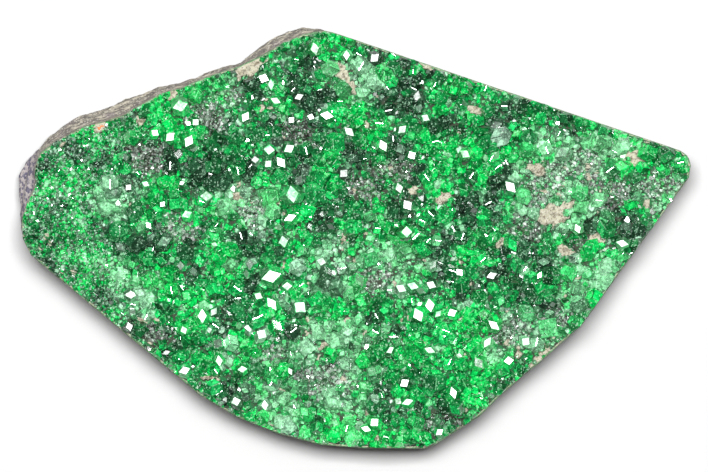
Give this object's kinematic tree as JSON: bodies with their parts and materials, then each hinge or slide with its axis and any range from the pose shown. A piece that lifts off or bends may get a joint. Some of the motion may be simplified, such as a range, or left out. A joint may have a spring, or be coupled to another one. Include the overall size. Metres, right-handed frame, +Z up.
{
  "type": "uvarovite garnet specimen",
  "caption": "Flat plate of dark chromite rock, sawn on three sides and broken on one, its top face under a crust of small green garnet crystals.",
  "frame": {"origin": "on the flat underside, below the middle of the plate's bounding box", "axes": "+Z up out of the crystal face, +X along the plate's length towards its pointed right end, +Y towards the crest of the broken edge"},
  "size_m": [0.0635, 0.0398, 0.01],
  "materials": {
    "chromite": "matt sawn and broken rock, dark grey with tan and purple-grey streaks",
    "uvarovite": "glassy flat crystal faces, emerald green, partly clear"
  },
  "bodies": {
    "root": {"chromite_matrix": "chromite", "garnet_crust": "uvarovite"}
  },
  "joints": []
}
